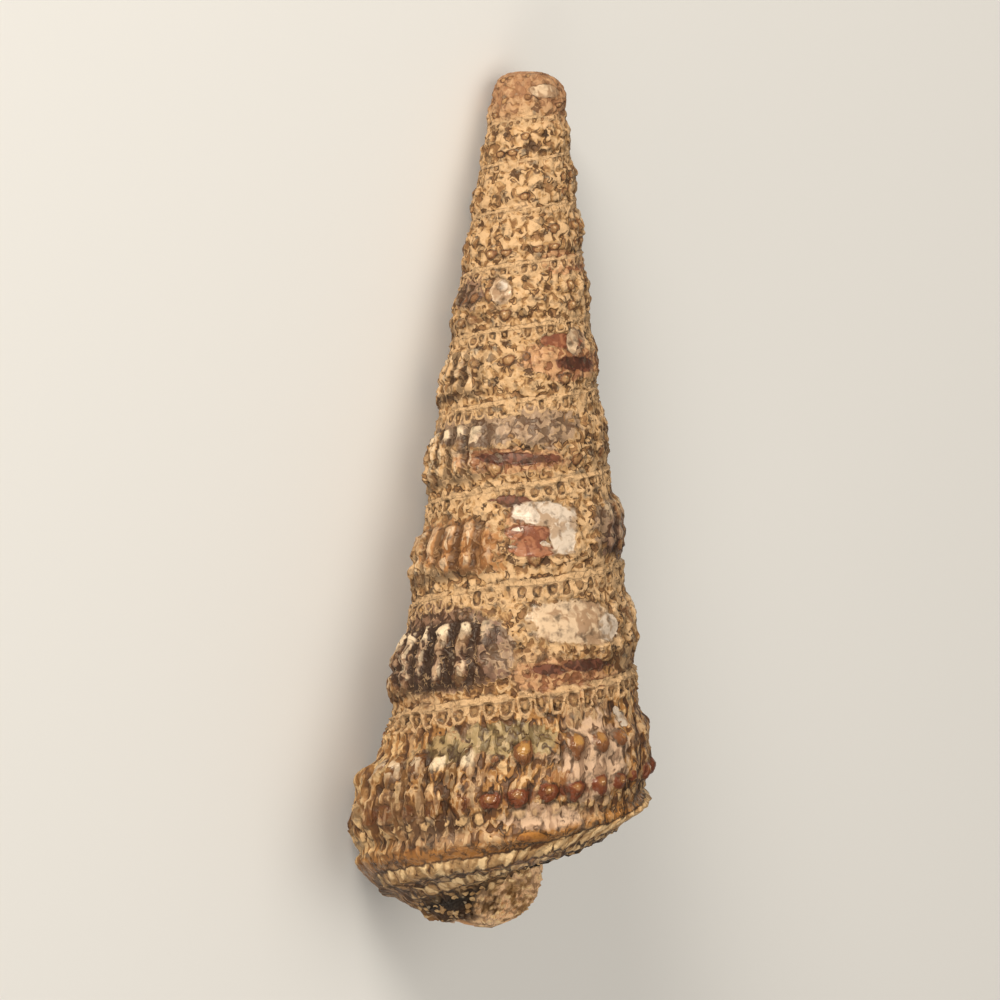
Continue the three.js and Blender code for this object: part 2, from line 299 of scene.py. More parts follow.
# Grain for the dried mud and the worn surfaces, the same in every run. Each kind of mark has the
# size of its lumps, in millimetres, and a layer of its own, so that no two look alike.
GRAIN_VALUES = 4096
grain_table = chance.uniform(-1, 1, GRAIN_VALUES)
KEY_STEPS = (73856093, 19349663, 83492791)
LAYER_STEP = 2654435
GRAINS = dict(lump=(0.55, 1), speck=(0.3, 2), patch_edge=(0.6, 3), pit=(0.85, 4), flake=(1.5, 5),
              mud=(3.0, 6), bead_along=(0.7, 7), bead_down=(0.6, 8), stub=(0.8, 9), tip=(0.9, 10),
              rib=(7.0, 11))
FIRST_PATCH_LAYER = 20
FAR = 9.0
CELL_LOOSENESS = 0.42


def grain_key(at, layer):
    """A whole number for each cell of a layer, with no pattern from one cell to the next."""
    x, y, z = (at[:, side] * step for side, step in enumerate(KEY_STEPS))
    return x ^ y ^ z ^ (layer * LAYER_STEP)


def grain(points, size, layer):
    """Smooth random values between -1 and 1, in lumps of a given size."""
    cell = points / size
    low = np.floor(cell).astype(np.int64)
    part = ease(0, 1, cell - low)
    total = 0.0
    for corner in np.ndindex(2, 2, 2):
        weight = np.prod(np.where(np.array(corner) == 1, part, 1 - part), axis=1)
        total = total + weight * grain_table[grain_key(low + np.array(corner), layer) % GRAIN_VALUES]
    return total


def cells(points, size, layer):
    """How far each point is from its cell's border, in cells: 0 on the border."""
    cell = points / size
    low = np.floor(cell).astype(np.int64)
    nearest = np.full(len(points), FAR)
    second = np.full(len(points), FAR)
    for step in np.ndindex(3, 3, 3):
        at = low + np.array(step) - 1
        key = grain_key(at, layer)
        seed = np.stack([grain_table[(key * odd) % GRAIN_VALUES] for odd in (1, 7, 13)], axis=1)
        gap = np.linalg.norm(cell - (at + 0.5 + CELL_LOOSENESS * seed), axis=1)
        second = np.minimum(second, np.maximum(gap, nearest))
        nearest = np.minimum(nearest, gap)
    return second - nearest


# Worn and coloured patches, as ellipses seen straight onto the back:
# [across from the axis, depth, half width, half height], in millimetres.
PATCHES = {
    "olive": [[-0.4, 52.2, 3.2, 0.95], [-3.9, 53.0, 1.5, 0.8]],
    "amber": [[-3.5, 41.3, 2.6, 1.6], [-2.2, 59.2, 5.0, 0.7], [3.4, 54.4, 1.7, 0.7]],
    "rust": [[2.6, 48.7, 3.2, 1.2], [2.4, 30.4, 2.6, 1.1], [-0.8, 36.2, 3.4, 0.8],
             [0.2, 39.4, 1.2, 0.9], [2.4, 24.6, 1.4, 0.7]],
    "gold": [[1.4, 57.8, 1.0, 0.35]],
    "lilac": [[4.6, 53.3, 2.1, 2.6], [1.8, 56.7, 2.5, 0.9]],
    "grey": [[1.2, 34.2, 2.4, 1.15], [-2.6, 34.7, 2.7, 1.1], [3.1, 29.2, 0.6, 0.85],
             [5.1, 39.7, 1.0, 1.4], [-1.3, 47.1, 1.2, 1.7]],
    "dark": [[-4.7, 46.5, 3.9, 2.0], [-5.0, 48.6, 3.6, 1.2], [-3.2, 26.4, 0.9, 1.2],
             [5.6, 40.6, 0.8, 1.2]],
    "maroon": [[-0.6, 38.6, 1.2, 0.4], [1.7, 48.2, 1.0, 0.34], [3.9, 47.9, 1.4, 0.36],
               [3.1, 30.5, 1.1, 0.45], [-0.3, 36.1, 2.4, 0.38]],
    "brick": [[0.4, 40.4, 1.4, 0.5], [0.6, 41.3, 1.5, 0.5], [2.2, 29.2, 1.3, 0.45]],
    "pearl": [[3.0, 45.4, 2.7, 1.3], [3.5, 46.0, 2.4, 0.8], [-1.3, 26.4, 0.7, 0.8],
              [2.9, 29.2, 0.35, 0.75], [0.9, 14.7, 0.8, 0.4]],
    # Three small white ellipses here, at depths 40.2 to 41.2, are painted highlights on the brick-red
    # patch.
    "white": [[1.2, 39.2, 2.0, 0.7], [2.4, 40.6, 0.8, 1.1], [-0.25, 40.2, 0.4, 0.12],
              [1.35, 40.96, 0.35, 0.1], [-0.5, 41.2, 0.35, 0.09], [5.2, 45.7, 0.6, 0.85],
              [-1.2, 26.1, 0.35, 0.35], [5.7, 50.5, 0.2, 0.3], [5.95, 50.9, 0.22, 0.3],
              [6.2, 51.3, 0.24, 0.25]],
}
WORN_FLAT = ("brick", "maroon", "pearl", "white")
POLISHED = ("lilac", "grey", "gold", "amber") + WORN_FLAT
# On the sides that the picture doesn't show, patches are scattered: lumps of grain past a level.
SCATTER = dict(size=4.0, level=0.70, steep=1.6, ragged_size=1.3, ragged=0.3)
PATCH_EDGE = dict(ragged=0.12, soft=(-0.1, 0.2))


def patch(name, points):
    """1 in the middle of the nearest patch of a kind, 0 on its edge and less outside."""
    best = np.full(len(points), -FAR)
    for across, depth, half_width, half_height in PATCHES[name]:
        reach = np.hypot((points[:, 0] - across) / half_width, (-points[:, 1] - depth) / half_height)
        best = np.maximum(best, 1 - reach)
    layer = FIRST_PATCH_LAYER + list(PATCHES).index(name)
    scattered = SCATTER["steep"] * (grain(points, SCATTER["size"], layer) - SCATTER["level"])
    scattered = scattered + SCATTER["ragged"] * grain(points, SCATTER["ragged_size"], layer)
    return np.where(points[:, 2] > 0, best, scattered)


def on_patches(names, points):
    reach = np.max([patch(name, points) for name in names], axis=0)
    return ease(*PATCH_EDGE["soft"], reach + PATCH_EDGE["ragged"] * grain(points, *GRAINS["patch_edge"]))


# The share of the beads that dried mud hides: few on the last whorl and many up the spire.
MUDDY = dict(last=0.15, spire=0.6, patchy=0.3, soft=(-0.1, 0.1))
# Where tall ribs take the place of the beads: down the sides of the back, and here and there on
# the other side.
LEFT_RIBS = dict(across=(-1.0, -3.2), depths=(26, 30))
RIGHT_RIBS = dict(across=(3.9, 5.4), depths=(29, 33), ends=(52, 49), share=0.5)
OTHER_RIBS = (0.25, 0.5)
CRUST = dict(lumps=0.6, specks=0.4, pits=0.8, pit_sides=(0.30, 0.02))
FLAKES = dict(often=42, wander=0.7, steep=1.4, turns=(-0.27, -0.12), below=(1.05, 1.2), left=0.3)


def up_spire(turns):
    """0 on the last whorl and 1 above it."""
    return ease(-0.9, -1.1, turns)


def muddy(turns, points):
    hidden = blend(MUDDY["last"], MUDDY["spire"], up_spire(turns))
    return hidden + MUDDY["patchy"] * grain(points, *GRAINS["mud"])


def ribbed(points):
    across, depth = points[:, 0], -points[:, 1]
    left = ease(*LEFT_RIBS["across"], across) * ease(*LEFT_RIBS["depths"], depth)
    right = RIGHT_RIBS["share"] * ease(*RIGHT_RIBS["across"], across)
    right = right * ease(*RIGHT_RIBS["depths"], depth) * ease(*RIGHT_RIBS["ends"], depth)
    return np.where(points[:, 2] > 0, left + right, ease(*OTHER_RIBS, grain(points, *GRAINS["rib"])))


def bead_wobble(points):
    return grain(points, *GRAINS["bead_along"]), grain(points, *GRAINS["bead_down"])


def crust(points):
    """The dried mud and lime: lumps of two sizes, with pits between them."""
    lumps = CRUST["lumps"] * grain(points, *GRAINS["lump"])
    lumps = lumps + CRUST["specks"] * grain(points, *GRAINS["speck"])
    return lumps - CRUST["pits"] * ease(*CRUST["pit_sides"], cells(points, *GRAINS["pit"]))


def flakes(turns, share, points):
    """The plates of growth behind the lip, each lapping over the one before it."""
    steps = -turns * FLAKES["often"] + FLAKES["wander"] * grain(points, *GRAINS["flake"])
    lap = steps - np.floor(steps)
    on_keel = ease(*FLAKES["below"], share)
    return (1 - lap) ** FLAKES["steep"] * ease(*FLAKES["turns"], turns) * blend(1, FLAKES["left"], on_keel)


# How much of the beads, the patches and the tip is worn or hidden, and how far the plates and the
# crust stand out, in millimetres.
DOME_ROUND = 0.75
BEAD_STANDS = (0.8, 0.3)
HIDDEN_BEAD_LOSES = 0.5
SPIRE_BEAD_LEFT = 0.62
WORN_AWAY = 0.85
TIP_LEFT = 0.12
TIP_WEAR_DEPTHS = (15.0, 21.0)
LIP_WEAR = 0.05
LIP_WEAR_TURNS = (-0.2, -0.08)
PLATES_STAND = 0.34
PLATES_SINK = 0.4
CRUST_STANDS = (0.09, 0.125)


def keel_drop(grown, turns, share):
    """How far below the keel a point is, in whorls, or well above it where there is no keel."""
    return np.where(share > 1, grown - keel_at(turns), -1.0)


def relief(turns, share, depth, points):
    """How far the surface stands out at each point, in millimetres."""
    wobble = bead_wobble(points)
    near_lip = ease(*LIP_WEAR_TURNS, turns)
    raised = blend(RIB_STANDS, TALL_RIB_STANDS, ribbed(points)) * rib(turns, share, wobble)
    for name, row in ROWS.items():
        edge, luck = bead_row(name, turns, share, wobble)
        hidden = ease(*MUDDY["soft"], muddy(turns, points) - luck)
        dome = np.clip(1 - (1 - np.clip(edge, 0, 1)) ** 2, 0, 1) ** DOME_ROUND
        dome = cell_under_suture(edge) if name == "suture" else dome
        worn = (1 - HIDDEN_BEAD_LOSES * hidden) * blend(1.0, SPIRE_BEAD_LEFT, up_spire(turns))
        stands = row["stands"] * dome * (BEAD_STANDS[0] + BEAD_STANDS[1] * luck) * worn
        raised = np.maximum(raised, stands)
    fine = sum(FINE_CORD_STANDS * np.exp(-((share - at) / FINE_CORD_HIGH) ** 2) for at in FINE_CORDS)
    drop = keel_drop(np.log(depth / LIP_SUTURE_DEPTH) / math.log(GROWTH) - turns, turns, share)
    cords = SEAM["stands"] * suture_cord(turns, share, wobble)
    cords = cords + KEEL["stands"] * rope(KEEL, turns, drop, wobble)
    cords = cords + UNDER_KEEL["stands"] * rope(UNDER_KEEL, turns, drop, wobble)
    cords = cords + BASE_CORDS["stands"] * base_cords(turns, drop, wobble)
    unworn = 1 - WORN_AWAY * on_patches(WORN_FLAT, points)
    rough = 1 - WORN_AWAY * on_patches(POLISHED, points)
    worn_tip = TIP_LEFT + (1 - TIP_LEFT) * ease(*TIP_WEAR_DEPTHS, depth)
    grown = depth * worn_tip * (cords + unworn * (raised * (1 - LIP_WEAR * near_lip) + fine))
    sunk = PLATES_SINK * near_lip * (share < FLAKES["below"][0])
    plates = PLATES_STAND * (flakes(turns, share, points) - sunk)
    return grown + plates + blend(*CRUST_STANDS, up_spire(turns)) * crust(points) * rough


# The base under the keel, as [share of the cord's radius, share of the way down to the canal's
# end], from the second cord in to the axis: round at first, then sloping to the lip.
BASE_ROUND = np.array([[1, 0], [0.87, 0.15], [0.57, 0.26], [0.32, 0.35], [0.29, 0.46], [0.29, 0.62],
                       [0.28, 0.78], [0.17, 0.91], [0, 1]])
BASE_LIP = np.array([[1, 0], [0.82, 0.10], [0.68, 0.36], [0.53, 0.62], [0.40, 0.78], [0.29, 0.88],
                     [0.18, 0.94], [0.1, 0.98], [0, 1]])
BASE_TURNS = (-0.36, -0.04)
CANAL_TIP_ASIDE = np.array([-0.9, 0.0, 0.0])
CANAL_ASIDE_FROM = 59.0
# The relief stands outwards on the whorls and downwards on the base, and the two are joined where
# the keel ends and where the base turns into the canal. It dies away before the canal's end.
DOWNWARDS_FROM = 1.17
OUTWARDS_FROM = (0.45, 0.65)
RELIEF_ENDS = (1.0, 0.8)
CROWN_RADIUS = 0.02
# The lip's edge is drawn back a little in the middle, in turns.
LIP_BACK = 0.022
LIP_BACK_TURNS = (-0.16, 0)
LIP_BACK_SHARE = 0.9


def rounded(points, count):
    """A smooth line through a few points."""
    steps = np.linspace(0, len(points) - 1, count)
    start = np.minimum(steps.astype(int), len(points) - 2)
    part = (steps - start)[:, None]
    padded = np.vstack([2 * points[0] - points[1], points, 2 * points[-1] - points[-2]])
    p0, p1, p2, p3 = (padded[start + k] for k in range(4))
    curve = 2 * p0 - 5 * p1 + 4 * p2 - p3
    swing = 3 * p1 - p0 - 3 * p2 + p3
    return 0.5 * (2 * p1 + (p2 - p0) * part + curve * part ** 2 + swing * part ** 3)


round_line = rounded(BASE_ROUND, BASE_ROWS + 1)
lip_line = rounded(BASE_LIP, BASE_ROWS + 1)


def place(turns, radius, depth):
    bearing = TURN * (LIP_BEARING + turns)
    return np.stack([radius * np.cos(bearing), -depth, radius * np.sin(bearing)], axis=-1)


def lip_shift(turns, share):
    return -LIP_BACK * ease(*LIP_BACK_TURNS, turns) * np.sin(np.pi * np.minimum(share / LIP_BACK_SHARE, 1))


def whorl_points(turns, share):
    radius, depth = outline(turns, share)
    flat = place(turns, radius, depth)
    stands = relief(turns, share, depth, flat)
    under = ease(DOWNWARDS_FROM, KEEL_END, share)
    radius = np.where(radius < CROWN_RADIUS, 0, radius + stands * (1 - under))
    return place(turns + lip_shift(turns, share), radius, depth + stands * under)


def base_points(turns, row):
    """Points of the base, in one of the rows between the keel and the canal's end."""
    cord_radius, cord_depth = outline(turns, np.full_like(turns, KEEL_END))
    slope = ease(*BASE_TURNS, turns)
    radius = cord_radius * blend(round_line[row, 0], lip_line[row, 0], slope)
    depth = blend(cord_depth, CANAL_DEPTH, blend(round_line[row, 1], lip_line[row, 1], slope))
    flat = place(turns, radius, depth)
    share = row / BASE_ROWS
    stands = relief(turns, np.full_like(turns, KEEL_END), depth, flat) * ease(*RELIEF_ENDS, share)
    outward = ease(*OUTWARDS_FROM, share)
    raised = place(turns, np.maximum(radius + stands * outward, 0), depth + stands * (1 - outward))
    return raised + CANAL_TIP_ASIDE * ease(CANAL_ASIDE_FROM, CANAL_DEPTH, depth)[:, None]


# The mesh: columns of points along the coil. The foot of each whorl is the top of the next.
last = SPIRE_TURNS * COLUMNS_PER_TURN
first_base = last - COLUMNS_PER_TURN
column, row = np.meshgrid(np.arange(last + 1), np.arange(WHORL_ROWS), indexing="ij")
turns = (column.ravel() - last) / COLUMNS_PER_TURN
whorls = whorl_points(turns, row.ravel() / WHORL_ROWS)

base_turns = (np.arange(COLUMNS_PER_TURN + 1) - COLUMNS_PER_TURN) / COLUMNS_PER_TURN
below = []
for step in range(KEEL_ROWS + 1):
    share = 1 + (KEEL_END - 1) * step / KEEL_ROWS
    below.append(whorl_points(base_turns, np.full_like(base_turns, share)))
for step in range(1, BASE_ROWS):
    below.append(base_points(base_turns, np.full(len(base_turns), step)))
below = np.stack(below, axis=1)
below_rows = below.shape[1]

canal_end = np.array([[0, -CANAL_DEPTH, 0]]) + CANAL_TIP_ASIDE
vertices = np.vstack([whorls, below.reshape(-1, 3), canal_end])
below_start = len(whorls)
canal_index = len(vertices) - 1


def whorl_index(c, r):
    """The point in row r of column c, where row WHORL_ROWS is the foot of the whorl."""
    on_foot = r == WHORL_ROWS
    shared = np.where(c + COLUMNS_PER_TURN <= last, (c + COLUMNS_PER_TURN) * WHORL_ROWS, -1)
    own = below_start + (c - first_base) * below_rows
    return np.where(on_foot, np.where(shared >= 0, shared, own), c * WHORL_ROWS + r)


def below_index(c, r):
    """The point in row r under the suture line, in a column of the last whorl."""
    at_start = (r == 0) & (c == first_base)
    own = below_start + (c - first_base) * below_rows + r
    ended = np.where(r >= below_rows, canal_index, own)
    return np.where(at_start, last * WHORL_ROWS, ended)


def quads(index, columns, rows):
    c, r = np.meshgrid(columns, rows, indexing="ij")
    c, r = c.ravel(), r.ravel()
    a, b = index(c, r), index(c + 1, r)
    d, e = index(c, r + 1), index(c + 1, r + 1)
    return np.vstack([np.stack([a, b, d], 1), np.stack([b, e, d], 1)])


faces = [
    quads(whorl_index, np.arange(last), np.arange(WHORL_ROWS)),
    quads(below_index, np.arange(first_base, last), np.arange(below_rows)),
]

# The plane of the mouth, between the lip and the whorl before it.
rows = np.arange(1, WHORL_ROWS)
corner = np.full(len(rows), last * WHORL_ROWS)
ends = np.full(len(rows), last)
faces.append(np.stack([corner, whorl_index(ends, rows + 1), whorl_index(ends, rows)], 1))
rows = np.arange(below_rows)
starts, ends = np.full(below_rows, first_base), np.full(below_rows, last)
inner, inner_next = below_index(starts, rows), below_index(starts, rows + 1)
outer, outer_next = below_index(ends, rows), below_index(ends, rows + 1)
faces.append(np.stack([inner, inner_next, outer], 1))
faces.append(np.stack([outer, inner_next, outer_next], 1))
faces = np.vstack(faces)

# Everything above the dome's crown is one point.
ON_AXIS = 1e-6
crown = np.flatnonzero(np.hypot(vertices[:, 0], vertices[:, 2]) < ON_AXIS)
crown = crown[crown != canal_index]
rename = np.arange(len(vertices))
rename[crown] = crown[0]
faces = rename[faces]
whole = (faces[:, 0] != faces[:, 1]) & (faces[:, 1] != faces[:, 2]) & (faces[:, 0] != faces[:, 2])
faces = faces[whole]
used, faces = np.unique(faces, return_inverse=True)
vertices = vertices[used]
faces = faces.reshape(-1, 3)


def solid(name, points, triangles):
    mesh = bpy.data.meshes.new(name)
    mesh.from_pydata(points.tolist(), [], triangles.tolist())
    mesh.update()
    made = bpy.data.objects.new(name, mesh)
    bpy.context.collection.objects.link(made)
    return made


lying = to_world(vertices)
lying[:, 2] = np.maximum(lying[:, 2], 0)
shell = solid("mud_creeper_shell", lying, faces)

# The hollow behind the mouth follows the coil inwards, and the canal opens beside the columella.
# Both are outlines in the plane of the mouth, as [radius, depth].
HOLLOW = np.array([[6.75, 52.9], [7.15, 54.2], [7.6, 55.5], [7.8, 56.9], [7.8, 58.3], [7.7, 59.6],
                   [7.2, 60.6], [6.2, 61.3], [5.0, 61.8], [3.8, 62.0], [2.7, 61.6], [2.2, 60.2],
                   [2.1, 58.4], [2.5, 56.8], [3.4, 55.6], [4.7, 54.4], [5.9, 53.3], [6.75, 52.9]])
CANAL = np.array([[3.3, 61.0], [3.2, 62.4], [2.9, 64.5], [1.85, 64.5], [2.0, 62.8], [2.15, 60.9],
                  [3.3, 61.0]])
# Towards the mouth the hollow widens with the lip and sags. It starts outside the mouth, and its
# blind end is rounded off.
MOUTH_TURNS = (-0.2, 0)
MOUTH_FLARE = dict(by=0.1, radii=(2.5, 7.5))
MOUTH_SAG = dict(by=0.12, below=58)
CUT_FROM = 0.05
BLIND_END = 0.25
BLIND_END_TAPER = 0.9
# Each cut's name, its outline, its sides, how many turns it goes back, and its steps.
CUTS = [("hollow", HOLLOW, 56, 0.95, 90), ("canal", CANAL, 36, 0.1, 12)]


def at_mouth(line, mouth):
    """A cut's outline, from how far a point is into the mouth: 1 in its plane and 0 well inside."""
    flare = 1 + MOUTH_FLARE["by"] * mouth * ease(*MOUTH_FLARE["radii"], line[:, 0])
    sag = MOUTH_SAG["by"] * mouth * np.maximum(line[:, 1] - MOUTH_SAG["below"], 0)
    return np.stack([line[:, 0] * flare, line[:, 1] + sag], axis=-1)


def spiral_cut(name, corners, sides, turns_back, steps):
    line = rounded(corners, sides + 1)[:-1]
    middle = line.mean(axis=0)
    points = []
    for step in range(steps + 1):
        share = step / steps
        at = CUT_FROM - (CUT_FROM + turns_back) * share
        size = math.sqrt(1 - BLIND_END_TAPER * max((share - (1 - BLIND_END)) / BLIND_END, 0) ** 2)
        ring = at_mouth(line, ease(*MOUTH_TURNS, at))
        ring = (middle + (ring - middle) * size) * GROWTH ** at
        points.append(place(np.full(sides, at), ring[:, 0], ring[:, 1]))
    ring_middles = [points[0].mean(axis=0), points[-1].mean(axis=0)]
    grid = np.arange((steps + 1) * sides).reshape(steps + 1, sides)
    after = np.roll(grid, -1, axis=1)
    a, b, c, d = grid[:-1], after[:-1], after[1:], grid[1:]
    near, far = len(points) * sides, len(points) * sides + 1
    triangles = [
        np.stack([a, b, c], -1).reshape(-1, 3),
        np.stack([a, c, d], -1).reshape(-1, 3),
        np.stack([np.full(sides, near), after[0], grid[0]], 1),
        np.stack([np.full(sides, far), grid[-1], after[-1]], 1),
    ]
    return solid(name, to_world(np.vstack(points + [ring_middles])), np.vstack(triangles))


def cut_away(piece, cutter):
    step = piece.modifiers.new("cut", "BOOLEAN")
    step.operation = "DIFFERENCE"
    step.solver = "MANIFOLD"
    step.object = cutter


def settle(piece):
    """Applies a piece's modifiers to its mesh."""
    graph = bpy.context.evaluated_depsgraph_get()
    mesh = bpy.data.meshes.new_from_object(piece.evaluated_get(graph))
    piece.modifiers.clear()
    piece.data = mesh


cutters = [spiral_cut(*cut) for cut in CUTS]
for cutter in cutters:
    cut_away(shell, cutter)
thin = shell.modifiers.new("thin", "DECIMATE")
thin.ratio = 0.62
shell.modifiers.new("triangles", "TRIANGULATE")
settle(shell)
for cutter in cutters:
    bpy.data.objects.remove(cutter)
shell.data.polygons.foreach_set("use_smooth", [True] * len(shell.data.polygons))
shell.data.set_sharp_from_angle(angle=math.radians(62))

# Where each point lies on the coil, for the colours.
coordinates = np.empty(len(shell.data.vertices) * 3)
shell.data.vertices.foreach_get("co", coordinates)
points = to_shell(coordinates.reshape(-1, 3))
radius = np.hypot(points[:, 0], points[:, 2])
depth = -points[:, 1]
KEEL_STARTS = -0.98
around = (np.arctan2(points[:, 2], points[:, 0]) / TURN - LIP_BEARING) % 1.0 - 1.0
grown = np.log(np.maximum(depth, 1) / LIP_SUTURE_DEPTH) / math.log(GROWTH) - around
whorls_up = np.maximum(np.ceil(-grown), 0)
share = grown + whorls_up
turns = around - whorls_up
share = np.where(share > 1, 1 + (share - 1) / (1 + KEEL_DROP * np.maximum(turns, KEEL_STARTS)), share)

# The inside's colour ends just short of the wall's edge, in millimetres.
WALL_EDGE = (-0.14, -0.05)


def inside_cut(corners):
    """1 on the wall that a cut leaves, from how far each point is from the cut's outline."""
    outline_here = at_mouth(corners, ease(*MOUTH_TURNS, around)[:, None])
    starts = outline_here[:, :-1]
    steps = outline_here[:, 1:] - starts
    offset = (np.stack([radius, depth], axis=-1) / GROWTH ** around[:, None])[:, None] - starts
    along = np.clip((offset * steps).sum(-1) / (steps ** 2).sum(-1), 0, 1)
    gap = np.linalg.norm(offset - along[..., None] * steps, axis=-1).min(axis=1)
    crosses = (offset[..., 1] >= 0) != (offset[..., 1] - steps[..., 1] >= 0)
    run = steps[..., 0] * offset[..., 1] / np.where(steps[..., 1] == 0, 1, steps[..., 1])
    within = (crosses & (offset[..., 0] < run)).sum(axis=1) % 2 == 1
    return ease(*WALL_EDGE, np.where(within, gap, -gap))


# A bead's lit top, where the beads get painted light (a paler upper part and a highlight), is smaller than
# the bead and sits a little above its middle. The gold beads lie in the upper row, from the middle of the
# back to its right side.
BEAD_LIT_TOP = dict(along=1.7, down=1.6, above=0.3)
GOLD_ACROSS = ((-2.5, 1.5), (5.6, 4.4))
wobble = bead_wobble(points)
bead_edge = np.full(len(points), -FAR)
bead_red, bead_bright, bead_gold = np.zeros((3, len(points)))
bead_lit_top = np.full(len(points), -1.0)
for name, redness in STAINED_ROWS.items():
    edge, luck = bead_row(name, turns, share, wobble)
    along, down, luck = on_bead(name, turns, share, wobble)
    off_top = np.hypot(BEAD_LIT_TOP["along"] * along, BEAD_LIT_TOP["down"] * (down + BEAD_LIT_TOP["above"]))
    bead_lit_top = np.maximum(bead_lit_top, 1 - off_top)
    edge = blend(-1.0, edge, ease(-0.06, 0.06, luck - muddy(turns, points)))
    nearer = edge > bead_edge
    bead_edge = np.where(nearer, edge, bead_edge)
    bead_red = np.where(nearer, redness, bead_red)
    golden = ease(*GOLD_ACROSS[0], points[:, 0]) * ease(*GOLD_ACROSS[1], points[:, 0])
    bead_gold = np.where(nearer, golden * (name == "upper"), bead_gold)
    bead_bright = np.where(nearer, luck, bead_bright)


SUTURE_EDGE = (0.98, 1.02)


def above_suture(values):
    return np.where(share < SUTURE_EDGE[1], values, -1.0)


on_last = (whorls_up == 0).astype(float)
on_last_back = on_last * (points[:, 2] > 0) * ease(5.6, 4.8, points[:, 0])
drop = keel_drop(grown, turns, share)
by_canal = np.maximum(ease(-0.13, -0.1, around), ease(-0.94, -0.96, around))
below_top = share - rib_top(turns)
near_lip = ease(-0.25, -0.1, turns)
on_keel = ease(*SUTURE_EDGE, share)
arch, arch_luck = bead_row("suture", turns, share, wobble)
ribs_here = ribbed(points)
# Painted shade low on the left of the last whorl.
shade_low_left = ease(0.6, 0.75, share) * ease(1.02, 0.94, share) * ease(-3.5, -5.5, points[:, 0])
red_band = ease(0.05, 0.03, np.abs(share - ROWS["lower"]["at"])) * ease(-3, -1, points[:, 0])
colour_fields = {
    "bead_edge": above_suture(bead_edge),
    "bead_lit_top": above_suture(bead_lit_top),
    "arch": np.where((share < 0.5) & (depth > 16), arch, -1.0),
    "arch_luck": arch_luck,
    "bead_red": bead_red,
    "bead_bright": bead_bright,
    "bead_gold": bead_gold,
    "rib": rib(turns, share, wobble),
    "ribbed": ribs_here * ease(-0.06, 0, below_top) * ease(-0.05, 0, rib_foot(turns) - share),
    "rib_top": ribs_here * ease(-0.03, 0, below_top) * ease(0.13 + 0.06 * near_lip, 0.08, below_top),
    "foot_bead": above_suture(bead_row("foot", turns, share, wobble)[0]) * on_last,
    "red_band": red_band * on_last_back,
    "seam": suture_cord(turns, share, wobble),
    "keel": rope(KEEL, turns, drop, wobble) + rope(UNDER_KEEL, turns, drop, wobble),
    "groove": on_keel * ease(-0.16, -0.12, drop) * ease(-0.045, -0.06, drop),
    "crust": crust(points) * (1 - on_patches(POLISHED, points)),
    "flake": flakes(turns, share, points),
    "near_lip": near_lip * blend(1, 0.75, on_keel),
    "lip_corner": ease(-0.10, -0.04, turns),
    "last_whorl": on_last * ease(0.12, 0.2, share),
    "low_mud": ease(-0.78, -0.62, turns + share),
    "shade_low_left": on_last * shade_low_left,
    "base": ease(0.10, 0.15, drop),
    "base_cord": base_cords(turns, drop, wobble),
    "stub": ease(3.0, 2.1, radius + 0.5 * grain(points, *GRAINS["stub"])) * ease(57.5, 59.0, depth),
    "inside": np.maximum(inside_cut(HOLLOW), inside_cut(CANAL) * by_canal) * ease(45.0, 46.0, depth),
    "even": np.maximum(on_patches(WORN_FLAT, points), 0.6 * on_patches(POLISHED, points)),
    "worn_tip": ease(17.0, 15.0, depth + 0.6 * grain(points, *GRAINS["tip"])),
}


def keep(name, kind, domain, values):
    """Keeps values on the shell's mesh, where the material reads them."""
    made = shell.data.attributes.new(name, kind, domain)
    slot = "value" if kind == "FLOAT" else "vector"
    made.data.foreach_set(slot, values.astype(np.float32).ravel())


for name, values in colour_fields.items():
    keep(name, "FLOAT", "POINT", values)
for name in PATCHES:
    keep("patch_" + name, "FLOAT", "POINT", patch(name, points))
keep("upright", "FLOAT_VECTOR", "POINT", points)

# The place on the coil for each corner of each face, in millimetres along the coil and down from
# its suture. It is whole across a face, so that rows of pits and the keel's strands, which are
# drawn with it, have no tear where one turn ends and the next begins.
corners = np.empty(len(shell.data.loops), dtype=np.int64)
shell.data.loops.foreach_get("vertex_index", corners)
corners = corners.reshape(-1, 3)
first = corners[:, :1]
corner_around = around[corners] - np.round(around[corners] - around[first])
corner_turns = corner_around - whorls_up[first]
corner_share = grown[corners] + around[corners] - corner_turns
WHORL_MEAN_RADIUS = 7.6
coil_radius = WHORL_MEAN_RADIUS * GROWTH ** corner_turns
whorl_height = LIP_SUTURE_DEPTH * math.log(GROWTH) * GROWTH ** (corner_turns + 0.5)
along = TURN * coil_radius / math.log(GROWTH)
keep("laid", "FLOAT_VECTOR", "CORNER",
     np.stack([along, corner_share * whorl_height, 0 * corner_share], axis=-1))


def chart(red, green, blue):
    """A colour as a paint chart gives it, 0 to 255, as the shader wants it."""
    parts = [value / 255 for value in (red, green, blue)]
    return tuple(v / 12.92 if v < 0.04045 else ((v + 0.055) / 1.055) ** 2.4 for v in parts) + (1.0,)


MUD_PALE = chart(190, 154, 112)
MUD = chart(170, 131, 86)
MUD_BROWN = chart(128, 91, 55)
PIT = chart(76, 49, 27)
# The next colour is painted shade, laid in crevices, gaps and at the feet of raised parts.
CREVICE_SHADE = chart(42, 25, 14)
OCHRE_PALE = chart(198, 160, 112)
OCHRE = chart(148, 103, 55)
OCHRE_DARK = chart(86, 53, 26)
LILAC_GREY = chart(142, 116, 92)
# The next colour is painted highlight, laid on beads, ribs, grains and the rough shell.
PAINTED_HIGHLIGHT = chart(226, 200, 164)
BEAD_BROWN = chart(108, 68, 38)
BEAD_GOLD = chart(158, 114, 58)
BEAD_RED = chart(100, 48, 26)
CORD_PALE = chart(208, 172, 122)
